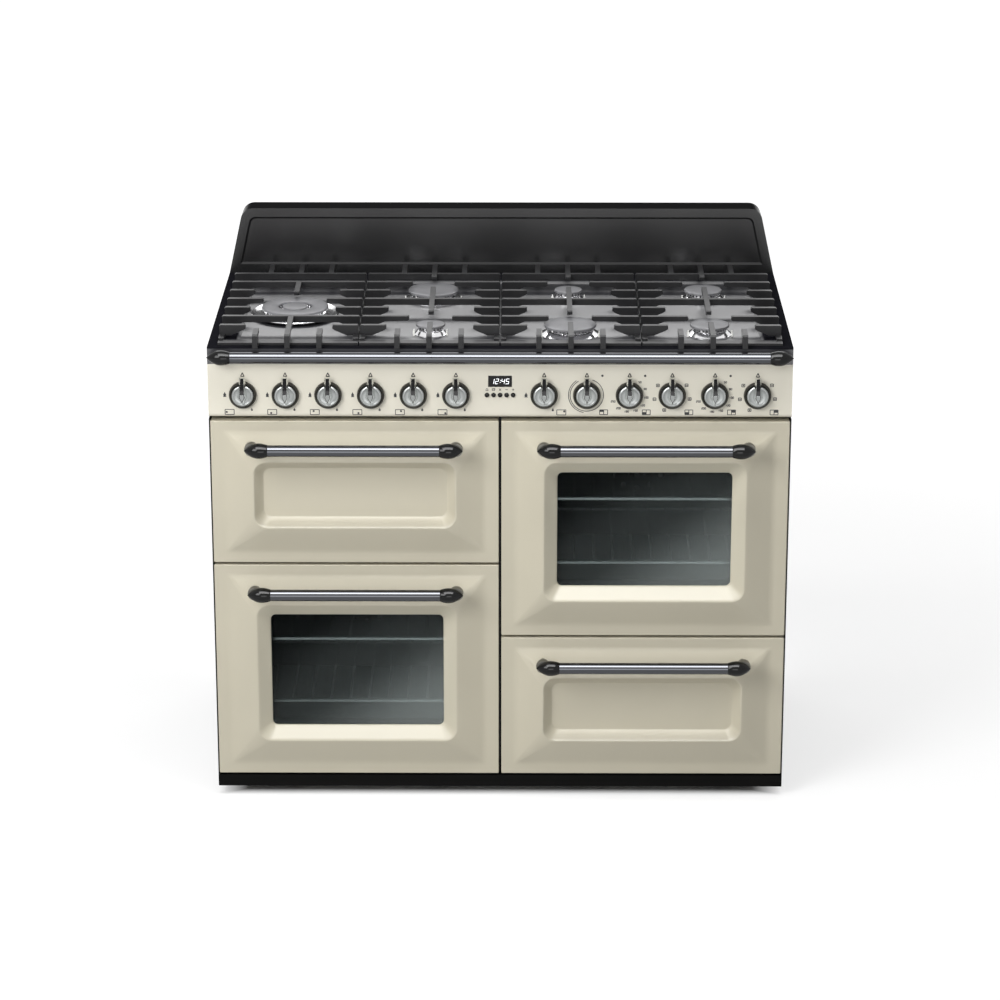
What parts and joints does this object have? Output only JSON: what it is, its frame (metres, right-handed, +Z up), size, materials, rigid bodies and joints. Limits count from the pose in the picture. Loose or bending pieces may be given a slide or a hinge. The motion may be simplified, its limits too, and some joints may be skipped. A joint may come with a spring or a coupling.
{
  "type": "range cooker",
  "caption": "Free-standing range cooker: gas hob with cast iron pan supports and splashback, two ovens, a grill and a drawer.",
  "frame": {"origin": "on the floor, midway across the width and midway between the handles' front and the back", "axes": "+X to the right seen from the front, +Y to the back, +Z up"},
  "size_m": [1.1, 0.6725, 1.044],
  "materials": {
    "black_enamel": "gloss black vitreous enamel",
    "hob_enamel": "high gloss black enamel",
    "cream_enamel": "gloss cream enamel on pressed steel",
    "zinc_sheet": "galvanised sheet",
    "cavity_enamel": "satin grey-black enamel",
    "chrome": "polished chrome; the ends are gloss black",
    "cast_iron": "matt black enamelled cast iron",
    "burner_alloy": "polished aluminium",
    "gas_brass": "turned brass and steel pipe",
    "black_rubber": "matt",
    "dark_glass": "tinted glass with a black printed edge",
    "bezel_metal": "dark grey-brown gloss",
    "knob_metal": "satin silver disc with a polished lever",
    "black_plastic": "gloss black"
  },
  "bodies": {
    "root": {"side_panels": "black_enamel", "front_frame": "black_enamel", "plinth": "black_enamel", "splashback": "black_enamel", "hob_top": "hob_enamel", "control_fascia": "cream_enamel", "rear_panel": "zinc_sheet", "base_chassis": "zinc_sheet", "control_bracket": "zinc_sheet", "fan_motors": "zinc_sheet", "heating_elements": "zinc_sheet", "left_oven_cavity": "cavity_enamel", "right_oven_cavity": "cavity_enamel", "grill_cavity": "cavity_enamel", "front_rail": "chrome", "oven_shelves": "chrome", "burner_caps": "cast_iron", "burner_bodies": "burner_alloy", "gas_manifold": "gas_brass", "door_seals": "black_rubber", "levelling_feet": "black_rubber", "clock_window": "dark_glass", "knob_bezels": "bezel_metal"},
    "left_door": {"left_door_panel": "cream_enamel", "left_door_glass": "dark_glass", "left_door_liner": "cavity_enamel", "left_door_handle": "chrome"},
    "right_door": {"right_door_panel": "cream_enamel", "right_door_glass": "dark_glass", "right_door_liner": "cavity_enamel", "right_door_handle": "chrome"},
    "grill_door": {"grill_door_panel": "cream_enamel", "grill_door_liner": "cavity_enamel", "grill_door_handle": "chrome"},
    "drawer": {"drawer_front": "cream_enamel", "drawer_box": "zinc_sheet", "drawer_handle": "chrome"},
    "left_fan": {"left_fan": "zinc_sheet"},
    "right_fan": {"right_fan": "zinc_sheet"},
    "pan_support_1": {"pan_support_1": "cast_iron"},
    "pan_support_2": {"pan_support_2": "cast_iron"},
    "pan_support_3": {"pan_support_3": "cast_iron"},
    "pan_support_4": {"pan_support_4": "cast_iron"},
    "knob_1": {"knob_1": "knob_metal"},
    "knob_2": {"knob_2": "knob_metal"},
    "knob_3": {"knob_3": "knob_metal"},
    "knob_4": {"knob_4": "knob_metal"},
    "knob_5": {"knob_5": "knob_metal"},
    "knob_6": {"knob_6": "knob_metal"},
    "knob_7": {"knob_7": "knob_metal"},
    "knob_8": {"knob_8": "knob_metal"},
    "knob_9": {"knob_9": "knob_metal"},
    "knob_10": {"knob_10": "knob_metal"},
    "knob_11": {"knob_11": "knob_metal"},
    "knob_12": {"knob_12": "knob_metal"},
    "clock_button_1": {"clock_button_1": "black_plastic"},
    "clock_button_2": {"clock_button_2": "black_plastic"},
    "clock_button_3": {"clock_button_3": "black_plastic"},
    "clock_button_4": {"clock_button_4": "black_plastic"},
    "clock_button_5": {"clock_button_5": "black_plastic"}
  },
  "joints": [
    {"name": "left_door_hinge", "type": "hinge", "parent": "root", "child": "left_door", "pos_m": [-0.275, -0.25375, 0.06], "axis": [1, 0, 0], "range_deg": [0, 85]},
    {"name": "right_door_hinge", "type": "hinge", "parent": "root", "child": "right_door", "pos_m": [0.275, -0.25375, 0.348], "axis": [1, 0, 0], "range_deg": [0, 85]},
    {"name": "grill_door_hinge", "type": "hinge", "parent": "root", "child": "grill_door", "pos_m": [-0.275, -0.25375, 0.496], "axis": [1, 0, 0], "range_deg": [0, 85]},
    {"name": "drawer_slide", "type": "slide", "parent": "root", "child": "drawer", "axis": [0, -1, 0], "range_m": [0, 0.35]},
    {"name": "knob_1_turn", "type": "hinge", "parent": "root", "child": "knob_1", "pos_m": [-0.4845, -0.26375, 0.817], "axis": [0, -1, 0], "range_deg": [0, 210]},
    {"name": "knob_2_turn", "type": "hinge", "parent": "root", "child": "knob_2", "pos_m": [-0.4042, -0.26375, 0.817], "axis": [0, -1, 0], "range_deg": [0, 210]},
    {"name": "knob_3_turn", "type": "hinge", "parent": "root", "child": "knob_3", "pos_m": [-0.3239, -0.26375, 0.817], "axis": [0, -1, 0], "range_deg": [0, 210]},
    {"name": "knob_4_turn", "type": "hinge", "parent": "root", "child": "knob_4", "pos_m": [-0.2436, -0.26375, 0.817], "axis": [0, -1, 0], "range_deg": [0, 210]},
    {"name": "knob_5_turn", "type": "hinge", "parent": "root", "child": "knob_5", "pos_m": [-0.1633, -0.26375, 0.817], "axis": [0, -1, 0], "range_deg": [0, 210]},
    {"name": "knob_6_turn", "type": "hinge", "parent": "root", "child": "knob_6", "pos_m": [-0.083, -0.26375, 0.817], "axis": [0, -1, 0], "range_deg": [0, 210]},
    {"name": "knob_7_turn", "type": "hinge", "parent": "root", "child": "knob_7", "pos_m": [0.083, -0.26375, 0.817], "axis": [0, -1, 0], "range_deg": [0, 210]},
    {"name": "knob_8_turn", "type": "hinge", "parent": "root", "child": "knob_8", "pos_m": [0.1633, -0.26375, 0.817], "axis": [0, 1, 0], "range_deg": [0, 270]},
    {"name": "knob_9_turn", "type": "hinge", "parent": "root", "child": "knob_9", "pos_m": [0.2436, -0.26375, 0.817], "axis": [0, 1, 0], "range_deg": [0, 250]},
    {"name": "knob_10_turn", "type": "hinge", "parent": "root", "child": "knob_10", "pos_m": [0.3239, -0.26375, 0.817], "axis": [0, 1, 0], "range_deg": [0, 300]},
    {"name": "knob_11_turn", "type": "hinge", "parent": "root", "child": "knob_11", "pos_m": [0.4042, -0.26375, 0.817], "axis": [0, 1, 0], "range_deg": [0, 250]},
    {"name": "knob_12_turn", "type": "hinge", "parent": "root", "child": "knob_12", "pos_m": [0.4845, -0.26375, 0.817], "axis": [0, 1, 0], "range_deg": [0, 300]},
    {"name": "clock_button_1_press", "type": "slide", "parent": "root", "child": "clock_button_1", "axis": [0, 1, 0], "range_m": [0, 0.0015], "stiffness_N_per_m": 400},
    {"name": "clock_button_2_press", "type": "slide", "parent": "root", "child": "clock_button_2", "axis": [0, 1, 0], "range_m": [0, 0.0015], "stiffness_N_per_m": 400},
    {"name": "clock_button_3_press", "type": "slide", "parent": "root", "child": "clock_button_3", "axis": [0, 1, 0], "range_m": [0, 0.0015], "stiffness_N_per_m": 400},
    {"name": "clock_button_4_press", "type": "slide", "parent": "root", "child": "clock_button_4", "axis": [0, 1, 0], "range_m": [0, 0.0015], "stiffness_N_per_m": 400},
    {"name": "clock_button_5_press", "type": "slide", "parent": "root", "child": "clock_button_5", "axis": [0, 1, 0], "range_m": [0, 0.0015], "stiffness_N_per_m": 400},
    {"name": "pan_support_1_lift", "type": "slide", "parent": "root", "child": "pan_support_1", "axis": [0, 0, 1], "range_m": [0, 0.12]},
    {"name": "pan_support_2_lift", "type": "slide", "parent": "root", "child": "pan_support_2", "axis": [0, 0, 1], "range_m": [0, 0.12]},
    {"name": "pan_support_3_lift", "type": "slide", "parent": "root", "child": "pan_support_3", "axis": [0, 0, 1], "range_m": [0, 0.12]},
    {"name": "pan_support_4_lift", "type": "slide", "parent": "root", "child": "pan_support_4", "axis": [0, 0, 1], "range_m": [0, 0.12]},
    {"name": "left_fan_spin", "type": "hinge", "parent": "root", "child": "left_fan", "pos_m": [-0.275, 0.19075, 0.2615], "axis": [0, 1, 0], "continuous": true},
    {"name": "right_fan_spin", "type": "hinge", "parent": "root", "child": "right_fan", "pos_m": [0.275, 0.19075, 0.5495], "axis": [0, 1, 0], "continuous": true}
  ]
}
